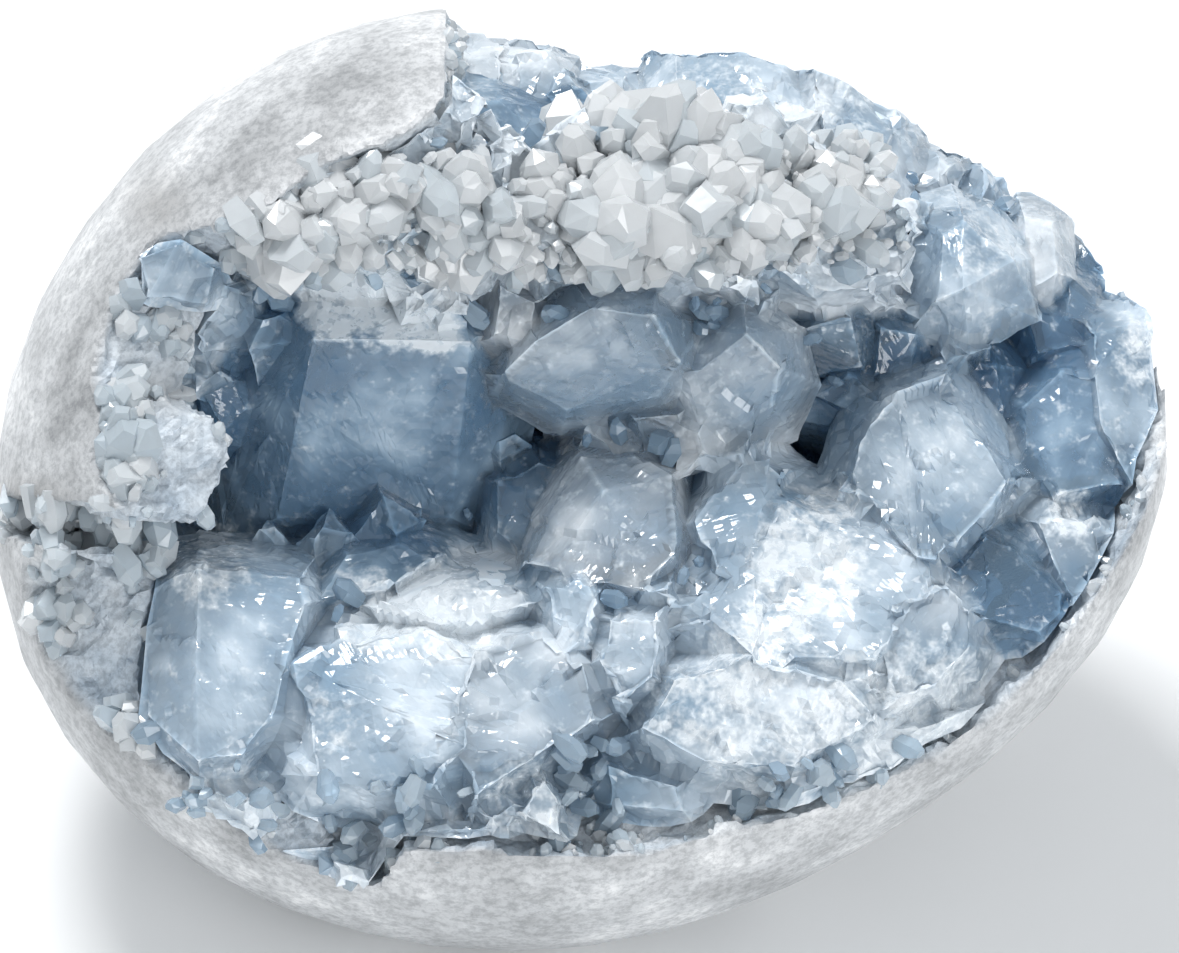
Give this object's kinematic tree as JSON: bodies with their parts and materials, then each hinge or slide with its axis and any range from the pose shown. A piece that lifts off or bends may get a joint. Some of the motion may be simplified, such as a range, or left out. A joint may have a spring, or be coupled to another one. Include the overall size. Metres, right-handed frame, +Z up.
{
  "type": "celestite crystal cluster",
  "caption": "Rounded grey-white geode, broken open at the front and top, its hollow full of large blocky pale blue crystals under a ridge of small white ones. It rests on a small ground flat.",
  "frame": {"origin": "centre of the bounding box's bottom, on the plane of the flat underside", "axes": "+Z up from the flat it rests on; +X along the long axis of the egg-shaped body; the opening faces -Y and +Z"},
  "size_m": [0.1176, 0.0908, 0.0849],
  "materials": {
    "matrix_rock": "satin",
    "celestite": "gloss"
  },
  "bodies": {
    "root": {"geode_shell": "matrix_rock", "celestite_crystals": "celestite"}
  },
  "joints": []
}
